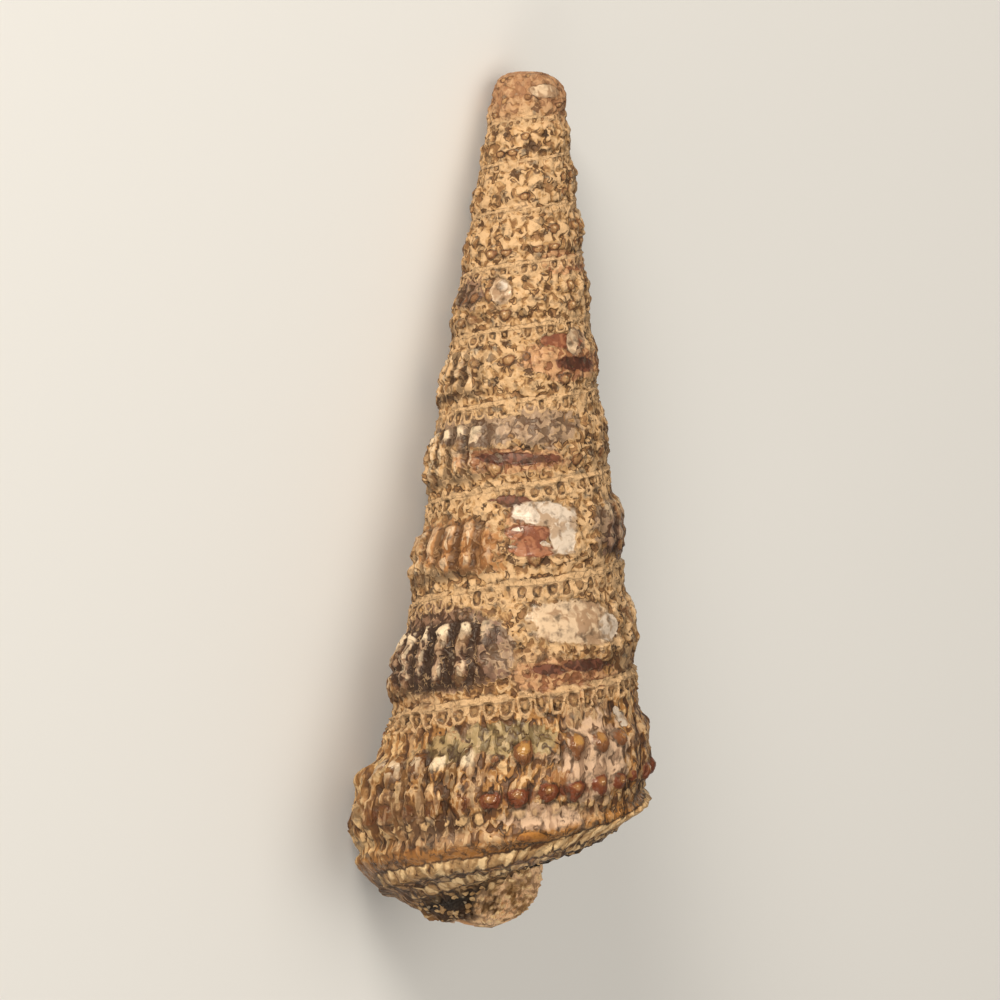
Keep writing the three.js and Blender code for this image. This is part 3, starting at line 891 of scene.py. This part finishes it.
# The next colour is lighter than the cord's pale, partly painted light on the keel, which faces away from
# the main lamp.
KEEL_PALE = chart(240, 204, 152)
BASE_DARK = chart(28, 16, 8)
BASE_GRAIN = chart(206, 168, 118)
STUB_PINK = chart(240, 196, 150)
GROOVE_GOLD = chart(160, 106, 48)
INSIDE_PALE = chart(200, 166, 132)
INSIDE_TAN = chart(196, 144, 98)
TIP_PINK = chart(146, 102, 70)
RIB_DARK = chart(54, 32, 22)
RIB_PALE = chart(172, 140, 110)
RIB_HIGHLIGHT = chart(214, 190, 156)
# Each patch's colour, the colour of its blotches, and how smooth it is.
GROUND_PATCHES = {
    "olive": (chart(106, 88, 54), chart(148, 126, 86), 0.4),
    "amber": (chart(130, 80, 38), chart(160, 108, 60), 0.4),
    "rust": (chart(132, 84, 54), chart(178, 132, 92), 0.4),
    "lilac": (chart(150, 118, 92), chart(194, 160, 130), 0.5),
    "grey": (chart(84, 64, 50), chart(142, 115, 91), 0.4),
    "dark": (chart(48, 28, 22), chart(112, 81, 64), 0.3),
}
TOP_PATCHES = {
    "maroon": (chart(56, 21, 13), chart(90, 42, 29), 0.45),
    "gold": (chart(164, 108, 48), chart(140, 88, 42), 0.7),
    "brick": (chart(112, 58, 36), chart(146, 92, 62), 0.75),
    "pearl": (chart(194, 166, 134), chart(150, 119, 90), 0.88),
    "white": (chart(192, 174, 154), chart(158, 132, 106), 0.85),
}

material = bpy.data.materials.new("shell_surface")
material.use_nodes = True
tree = material.node_tree
tree.nodes.clear()


def plug(socket, value):
    """Joins another node's output to a socket, or sets the socket to a value."""
    if isinstance(value, bpy.types.NodeSocket):
        tree.links.new(value, socket)
    else:
        socket.default_value = value


def node(kind, inputs, **settings):
    made = tree.nodes.new("ShaderNode" + kind)
    for name, value in settings.items():
        setattr(made, name, value)
    for name, value in inputs.items():
        plug(made.inputs[name], value)
    return made


def maths(operation, a, b):
    return node("Math", {0: a, 1: b}, operation=operation).outputs[0]


def plus(first, *others):
    for other in others:
        first = maths("ADD", first, other)
    return first


def times(first, *others):
    for other in others:
        first = maths("MULTIPLY", first, other)
    return first


def larger(a, b):
    return maths("MAXIMUM", a, b)


def rest(share):
    """What a share leaves of the whole."""
    return maths("SUBTRACT", 1.0, share)


def fade(value, low, high):
    """0 below low, 1 above high, and a soft step between. It falls if high is below low."""
    falls = high < low
    levels = {"From Min": min(low, high), "From Max": max(low, high)}
    made = node("MapRange", {"Value": value, **levels}, interpolation_type="SMOOTHSTEP")
    plug(made.inputs["To Min"], float(falls))
    plug(made.inputs["To Max"], float(not falls))
    return made.outputs["Result"]


def mixed(below, above, amount):
    made = node("Mix", {"Factor": amount}, data_type="RGBA")
    low, high = [socket for socket in made.inputs if socket.type == "RGBA"]
    plug(low, below)
    plug(high, above)
    return [socket for socket in made.outputs if socket.type == "RGBA"][0]


def layered(paint, *coats):
    """A paint with coats over it. Each coat is a colour and how much of it there is."""
    for colour, amount in coats:
        paint = mixed(paint, colour, amount)
    return paint


def field(name, output="Fac"):
    return node("Attribute", {}, attribute_name=name).outputs[output]


where = field("upright", "Vector")


def noise(size_mm, detail, output="Fac"):
    return node("TexNoise", {"Vector": where, "Scale": 1 / size_mm, "Detail": detail}).outputs[output]


def centred(value, amount):
    """Noise between 0 and 1 as a shift up or down."""
    return times(plus(value, -0.5), amount)


def torn(value, noise_by, amount, low, high):
    """A soft step with an edge torn by noise."""
    return fade(plus(value, centred(noise_by, amount)), low, high)


def shifted(vector, by, operation="ADD"):
    return node("VectorMath", {0: vector, 1: by}, operation=operation).outputs[0]


def slanted(vector, directions):
    """How far a point is along two directions, as a flat vector."""
    flat = node("CombineXYZ", {})
    for side, direction in enumerate(directions):
        reach = node("VectorMath", {0: vector, 1: direction}, operation="DOT_PRODUCT")
        plug(flat.inputs[side], reach.outputs["Value"])
    return flat.outputs[0]


def spots(vector, waves, looseness, shape="EUCLIDEAN"):
    """Spots: how far from its spot's middle a point is, in cells, and two lucks for each spot."""
    waved = shifted(vector, shifted(noise(0.6, 2.0, "Color"), waves, "MULTIPLY"))
    inputs = {"Vector": waved, "Scale": 1.0, "Randomness": looseness}
    made = node("TexVoronoi", inputs, distance=shape)
    lucks = node("SeparateColor", {"Color": made.outputs["Color"]})
    return made.outputs["Distance"], lucks.outputs["Red"], lucks.outputs["Green"]


STROKE_WIDE_MM = 0.42
STROKE_CURL = 0.6


def strokes(high_mm, aside):
    """Noise drawn out down the shell, as the growth steps are."""
    stretched = shifted(where, (1 / STROKE_WIDE_MM, 1 / high_mm, 1 / STROKE_WIDE_MM), "MULTIPLY")
    inputs = {"Vector": shifted(stretched, (aside, aside, aside)), "Scale": 1.0, "Detail": 1.0}
    return node("TexNoise", {**inputs, "Distortion": STROKE_CURL}).outputs["Fac"]


def contour(value, level, width):
    """A line where a value passes a level."""
    return fade(maths("ABSOLUTE", plus(value, -level), 0.0), width, 0.4 * width)


fine = noise(0.5, 3.0)
finer = noise(0.22, 1.0)
broad = noise(2.6, 1.0)
blotch = noise(1.1, 1.0)
gap = noise(0.7, 1.0)
last_whorl = field("last_whorl")
low_mud = field("low_mud")
short = strokes(0.46, 0.0)
tall = strokes(1.05, 7.0)
stroke = node("Mix", {"Factor": last_whorl, "A": short, "B": tall}).outputs["Result"]
# The dark lines sit at the foot of the strokes that the bump raises, as painted shade; the pale lines run
# along their tops.
stroke_shade = times(contour(stroke, 0.42, 0.07), fade(gap, 0.46, 0.56))
pale_stroke = times(contour(stroke, 0.56, 0.04), fade(gap, 0.54, 0.44))
# Small scattered painted highlights.
highlight_dots = times(fade(fine, 0.62, 0.67), fade(gap, 0.5, 0.6))

# Rows of angular pits along the coil, darkened in part with painted shade, some with a grain in them.
laid = field("laid", "Vector")
pit_rows = slanted(laid, directions=((1.1, 0.3, 0.0), (0.0, 1.08, 0.0)))
pit, pit_luck, pit_tone = spots(pit_rows, waves=(0.5, 0.5, 0.0), looseness=0.55, shape="MANHATTAN")
pit = plus(pit, centred(finer, 0.3))
pit_seen = times(fade(pit_luck, 0.1, 0.25), plus(0.6, times(fade(broad, 0.45, 0.55), 0.4)))
pit_dark = times(fade(pit, 0.50, 0.36), pit_seen)
pit_grain = times(fade(pit, 0.26, 0.16), fade(pit_tone, 0.5, 0.6), pit_seen)

# Dried mud up the spire and ochre shell on the last whorl. Every coat goes over the one before, and the
# levels of the fades and the share of each coat were set one by one.
crust_share = torn(field("crust"), fine, 1.0, -0.9, 0.5)
tone = plus(stroke, centred(crust_share, 0.25))
ochre = layered(
    OCHRE_DARK,
    (OCHRE, fade(tone, 0.38, 0.46)),
    (OCHRE_PALE, fade(tone, 0.54, 0.60)),
    (LILAC_GREY, times(torn(broad, stroke, 0.8, 0.5, 0.6), 0.45)),
)
mud = layered(
    MUD_BROWN,
    (MUD, fade(tone, 0.32, 0.40)),
    (MUD_PALE, fade(tone, 0.45, 0.52)),
    (PIT, times(stroke_shade, 0.9)),
    (mixed(PIT, CREVICE_SHADE, fade(pit_tone, 0.2, 0.8)), times(pit_dark, 0.95)),
    (MUD, times(pit_grain, 0.9)),
    (ochre, times(low_mud, 0.7)),
)
coat = {
    "colour": mixed(mud, ochre, torn(last_whorl, fine, 0.6, 0.35, 0.65)),
    "gloss": times(last_whorl, 0.3),
    "smooth": times(field("worn_tip"), 0.4),
}


def lay(paint, amount):
    """Lays a paint over the shell's colour."""
    coat["colour"] = mixed(coat["colour"], paint, amount)


def at_least(kind, amount):
    """Lifts the shell's gloss or smoothness where it is below an amount."""
    coat[kind] = larger(coat[kind], amount)


lay(mixed(TIP_PINK, OCHRE_DARK, times(pit_dark, 0.6)), times(field("worn_tip"), 0.75))
ragged = plus(centred(blotch, 1.0), centred(fine, 0.7), centred(stroke, 0.8))


def lay_patches(kinds):
    for name, (paint, blotches, evenness) in kinds.items():
        reach = plus(field("patch_" + name), times(ragged, 1.1 - 0.6 * evenness))
        amount = fade(reach, 0.0, 0.12)
        mottle = plus(broad, centred(blotch, 0.7), centred(stroke, 0.4 + 3 * (1 - evenness)))
        shade = mixed(paint, blotches, fade(mottle, 0.40 + 0.1 * evenness, 0.58 + 0.1 * evenness))
        shade = mixed(shade, OCHRE_DARK, times(stroke_shade, 0.7 * (1 - evenness) + 0.1))
        # A dark line of painted shade round each patch's edge, strongest on the smooth ones.
        lay(CREVICE_SHADE, times(fade(reach, -0.14, -0.03), 0.4 * evenness))
        lay(shade, times(amount, 0.8 + 0.2 * evenness))
        at_least("gloss", times(amount, 0.15 + 0.85 * evenness))
        at_least("smooth", times(amount, evenness))


lay_patches(GROUND_PATCHES)
groove = field("groove")
lay(mixed(GROOVE_GOLD, OCHRE_DARK, torn(fine, stroke, 0.6, 0.5, 0.65)), times(groove, 0.7))
at_least("gloss", groove)

# Ribs, lighter on their crests and dark in the gaps between them, partly painted light and shade, most of
# all on the dark patches.
ribbed_share = field("ribbed")
patch_dark = field("patch_dark")
rib_height = plus(field("rib"), centred(fine, 0.5))
rib_colour = mixed(RIB_DARK, RIB_PALE, torn(rib_height, stroke, 2.4, 0.5, 1.1))
lay(rib_colour, times(ribbed_share, plus(0.2, times(patch_dark, 0.9))))
gap_shade = plus(0.65, times(fade(patch_dark, -0.4, 0.1), 0.2), times(last_whorl, -0.15))
lay(CREVICE_SHADE, times(ribbed_share, fade(rib_height, 0.5, 0.15), gap_shade))
rough_part = rest(coat["smooth"])
lay(CREVICE_SHADE, times(stroke_shade, last_whorl, plus(0.2, times(rough_part, 0.6))))
lay(MUD_PALE, times(pale_stroke, rough_part, 0.6))

# The plates behind the lip, pale along each raised edge as a painted highlight and dark at each foot as
# painted shade, and the small beads at the foot of the last whorl.
flake = plus(times(field("flake"), 1.2), centred(fine, 0.3), centred(tall, 1.0))
plates = layered(
    OCHRE_DARK,
    (OCHRE, fade(flake, 0.2, 0.46)),
    (CORD_PALE, fade(flake, 0.62, 0.76)),
    (CREVICE_SHADE, times(fade(flake, 0.16, 0.04), 0.9)),
)
lay(plates, times(field("near_lip"), 0.62))
# Painted shade low on the left of the last whorl.
shade_low_left = times(field("shade_low_left"), torn(stroke, fine, 0.6, 0.62, 0.46))
lay(OCHRE_DARK, times(shade_low_left, 0.6))
foot_bead = plus(field("foot_bead"), centred(fine, 0.8))
foot_seen = times(last_whorl, rough_part, torn(blotch, stroke, 1.0, 0.42, 0.54))
# A dark rim of painted shade round the small beads at the foot.
lay(CREVICE_SHADE, times(fade(foot_bead, -0.3, -0.05), foot_seen, 0.6))
lay(OCHRE_PALE, times(fade(foot_bead, 0.05, 0.3), foot_seen, 0.85))

# Painted highlights on the ribs: on their tops and in streaks along their crests.
rib_highlight = times(field("rib_top"), torn(field("rib"), fine, 0.6, 0.3, 0.6))
rib_highlight = times(rib_highlight, torn(blotch, stroke, 1.0, 0.26, 0.38))
capped = larger(fade(patch_dark, -0.5, 0.0), fade(field("patch_grey"), -0.5, 0.0))
lay(RIB_HIGHLIGHT, times(rib_highlight, plus(0.3, times(larger(capped, last_whorl), 0.6))))
rib_highlight_streak = times(ribbed_share, fade(rib_height, 0.4, 0.7), fade(centred(tall, 1.0), 0.04, 0.10))
lay(PAINTED_HIGHLIGHT, times(rib_highlight_streak, plus(0.45, times(last_whorl, -0.3))))

# The cells under the suture: a pale rim, a dark dip that is partly painted shade, and a bead in some of
# them.
arch = plus(field("arch"), centred(fine, 0.5))
arch_rim = times(fade(arch, -0.2, 0.0), fade(arch, 0.45, 0.3), plus(0.85, times(low_mud, -0.1)))
lay(MUD_PALE, arch_rim)
arch_seen = larger(torn(field("arch_luck"), broad, 1.5, 0.2, 0.5), low_mud)
arch_seen = times(arch_seen, larger(fade(blotch, 0.34, 0.46), times(low_mud, 0.8)))
lay(mixed(CREVICE_SHADE, MUD_BROWN, fade(fine, 0.4, 0.6)), times(fade(arch, 0.22, 0.34), arch_seen, 0.85))
lay(MUD, times(fade(arch, 0.60, 0.78), 0.8))

# The beads: brown up the spire, dark red and gold on the last whorl, with dark rims of painted shade and
# lit tops with painted highlights.
edge = plus(field("bead_edge"), centred(finer, 0.45))
bead_lit_top = plus(field("bead_lit_top"), centred(finer, 0.4))
bead_bright = field("bead_bright")
spire_bead = layered(
    BEAD_BROWN,
    (MUD, times(fade(edge, 0.2, 0.5), plus(0.25, times(fade(bead_bright, 0.5, 0.8), 0.6)))),
    (PAINTED_HIGHLIGHT, times(fade(bead_lit_top, 0.55, 0.75), fade(bead_bright, 0.4, 0.6), 0.6)),
)
last_bead = layered(
    BEAD_BROWN,
    (BEAD_RED, field("bead_red")),
    (OCHRE, times(fade(bead_lit_top, 0.1, 0.6), 0.6)),
    (BEAD_GOLD, times(torn(bead_lit_top, stroke, 1.6, -0.1, 0.5), field("bead_gold"))),
    (PAINTED_HIGHLIGHT, times(fade(bead_lit_top, 0.72, 0.84), 0.7)),
)
bead = mixed(spire_bead, last_bead, plus(times(last_whorl, 0.8), 0.15))
bead_amount = rest(times(ribbed_share, 0.7))
# The dark rim round each bead is painted shade.
rim = times(fade(edge, -0.25, 0.0), plus(times(fade(blotch, 0.42, 0.6), 0.55), 0.25))
lay(BEAD_RED, times(field("red_band"), torn(blotch, fine, 0.6, 0.42, 0.55), 0.75))
lay(CREVICE_SHADE, times(bead_amount, rim))
lay(bead, times(bead_amount, fade(edge, 0.04, 0.18)))
at_least("gloss", times(fade(edge, 0.1, 0.3), plus(0.1, times(last_whorl, 0.9))))

lay_patches(TOP_PATCHES)
# Scattered small painted highlights on the rough parts.
lay(PAINTED_HIGHLIGHT, times(highlight_dots, rest(coat["smooth"]), plus(0.4, times(last_whorl, -0.15))))

# The cord on the suture, with a dark line of painted shade on both sides.
seam = plus(field("seam"), centred(fine, 1.0))
seam_seen = times(fade(blotch, 0.35, 0.5), rest(field("worn_tip")))
lay(CREVICE_SHADE, times(fade(seam, 0.0, 0.3), seam_seen, 0.5))
lay(MUD_PALE, times(fade(seam, 0.28, 0.5), seam_seen, 0.9))

# Rounded grains on the base and the stub of the canal, with painted highlights on the base's grains, and
# slanting strands on the keel.
SEEDS_PER_MM = (1.9, 2.7, 1.9)
on_base = field("base")
on_stub = field("stub")
keel = plus(field("keel"), centred(fine, 0.7))
on_keel = fade(keel, 0.25, 0.5)
seed_rows = shifted(where, SEEDS_PER_MM, "MULTIPLY")
seed, seed_luck, seed_tone = spots(seed_rows, waves=(0.8, 0.8, 0.8), looseness=0.9)
seed = plus(seed, centred(finer, 0.25), times(field("base_cord"), -0.15))
seed_colour = mixed(MUD, BASE_GRAIN, fade(seed_luck, 0.3, 0.6))
base = layered(
    BASE_DARK,
    (OCHRE_DARK, times(fade(broad, 0.48, 0.68), 0.5)),
    (OCHRE, times(field("lip_corner"), 0.75)),
    (seed_colour, times(fade(seed, 0.47, 0.38), fade(seed_tone, 0.28, 0.36))),
    (PAINTED_HIGHLIGHT, times(fade(seed, 0.24, 0.1), seed_luck, 0.5)),
)
lay(base, on_base)
# Painted shade along the keel's cords, left showing at their edges.
lay(CREVICE_SHADE, times(fade(keel, 0.0, 0.25), 0.8))
strand_rows = slanted(laid, directions=((1.9, -0.9, 0.0), (0.0, 1.1, 0.0)))
strand, strand_luck, _ = spots(strand_rows, waves=(0.6, 0.5, 0.0), looseness=0.7)
strand = plus(strand, centred(fine, 0.6))
strands = layered(
    OCHRE_DARK,
    (MUD, fade(strand, 0.80, 0.66)),
    (KEEL_PALE, times(fade(strand, 0.60, 0.36), plus(0.4, times(strand_luck, 0.6)))),
)
lay(strands, times(on_keel, 0.95))
stub = layered(
    STUB_PINK,
    (MUD, torn(blotch, fine, 0.6, 0.45, 0.6)),
    (OCHRE_DARK, times(fade(seed, 0.48, 0.68), 0.6)),
    (KEEL_PALE, times(fade(seed, 0.42, 0.25), fade(seed_luck, 0.35, 0.6))),
)
lay(stub, on_stub)
inside = field("inside")
lay(mixed(INSIDE_PALE, INSIDE_TAN, fade(broad, 0.4, 0.65)), inside)
at_least("gloss", inside)
at_least("smooth", inside)

# Grain too fine to model: the pale strokes stand up a little.
height = plus(
    times(fine, 0.5),
    times(finer, 0.3),
    times(fade(stroke, 0.38, 0.55), 0.5),
    times(pit_dark, rest(last_whorl), -0.5),
    times(fade(seed, 0.6, 0.15), larger(on_base, on_stub), 0.9),
    times(fade(strand, 0.75, 0.3), on_keel, 0.7),
)
height = times(height, rest(times(larger(coat["smooth"], field("even")), 0.9)))
bump = node("Bump", {"Strength": 0.8, "Distance": 0.00016, "Height": height})

surface = node("BsdfPrincipled", {
    "Base Color": coat["colour"],
    "Roughness": plus(0.64, times(coat["gloss"], -0.36)),
    "Normal": bump.outputs["Normal"],
    "Specular IOR Level": 0.36,
    "Specular Tint": (1.0, 0.88, 0.74, 1.0),
})
node("OutputMaterial", {"Surface": surface.outputs["BSDF"]})
shell.data.materials.clear()
shell.data.materials.append(material)

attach(shell, "root")
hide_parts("shell")


# The floor.
# A plain pale sheet of studio card that the shell lies on. It isn't part of the object.
FLOOR_HALF = 1.2
floor_corners = FLOOR_HALF * np.array([(-1, -1, 0), (1, -1, 0), (1, 1, 0), (-1, 1, 0)])
floor = solid("floor", floor_corners, np.array([(0, 1, 2), (0, 2, 3)]))
card = bpy.data.materials.new("card")
card.use_nodes = True
card.node_tree.nodes["Principled BSDF"].inputs["Base Color"].default_value = chart(226, 224, 220)
card.node_tree.nodes["Principled BSDF"].inputs["Roughness"].default_value = 0.8
floor.data.materials.append(card)


# The camera and the lights.
# The camera looks straight onto the shell's back, with the tip up in the picture, so it looks
# down on the lying shell from its lip side. The lamps are soft: the main one stands past the tip.
PICTURE_MM = 58.34
CAMERA_DISTANCE = 500.0
SENSOR_MM = 36.0
LEAN = math.radians(1.49)
MIDDLE_DEPTH = 38.5
MIDDLE_ACROSS = -1.05
back = lie @ np.array([0.0, 0.0, 1.0])
across = lie @ np.array([math.cos(LEAN), math.sin(LEAN), 0.0])
upward = lie @ np.array([-math.sin(LEAN), math.cos(LEAN), 0.0])
middle = (lie @ np.array([0.0, -MIDDLE_DEPTH, 0.0]) + CONE_POINT + across * MIDDLE_ACROSS) / 1000
camera_data = bpy.data.cameras.new("camera")
camera_data.sensor_width = SENSOR_MM
camera_data.lens = SENSOR_MM * CAMERA_DISTANCE / PICTURE_MM
camera_data.clip_start = 0.01
camera = bpy.data.objects.new("camera", camera_data)
bpy.context.collection.objects.link(camera)
turned = Matrix((across, upward, back)).transposed().to_4x4()
turned.translation = Vector(middle + back * CAMERA_DISTANCE / 1000)
camera.matrix_world = turned
bpy.context.scene.camera = camera

# Each lamp's direction in the camera's own frame, its width in metres, and its power in watts.
LAMPS = {
    "key": ((-0.2, 0.75, 1.0), 0.14, 2.4),
    "fill": ((0.9, 0.1, 0.9), 0.4, 0.9),
    "low": ((-0.2, -0.9, 0.6), 0.3, 0.55),
}
LAMP_DISTANCE = 0.45
for name, (direction, width, power) in LAMPS.items():
    light = bpy.data.lights.new(name, "AREA")
    light.size = width
    light.energy = power
    light.color = (1.0, 0.95, 0.87)
    lamp = bpy.data.objects.new(name, light)
    bpy.context.collection.objects.link(lamp)
    aim = Vector(across * direction[0] + upward * direction[1] + back * direction[2]).normalized()
    lamp.location = Vector(middle) + aim * LAMP_DISTANCE
    lamp.rotation_euler = aim.to_track_quat("Z", "Y").to_euler()

world = bpy.data.worlds.new("studio")
world.use_nodes = True
world.node_tree.nodes["Background"].inputs["Color"].default_value = (1.0, 0.96, 0.90, 1.0)
world.node_tree.nodes["Background"].inputs["Strength"].default_value = 0.31
bpy.context.scene.world = world
bpy.context.scene.view_settings.view_transform = "Standard"
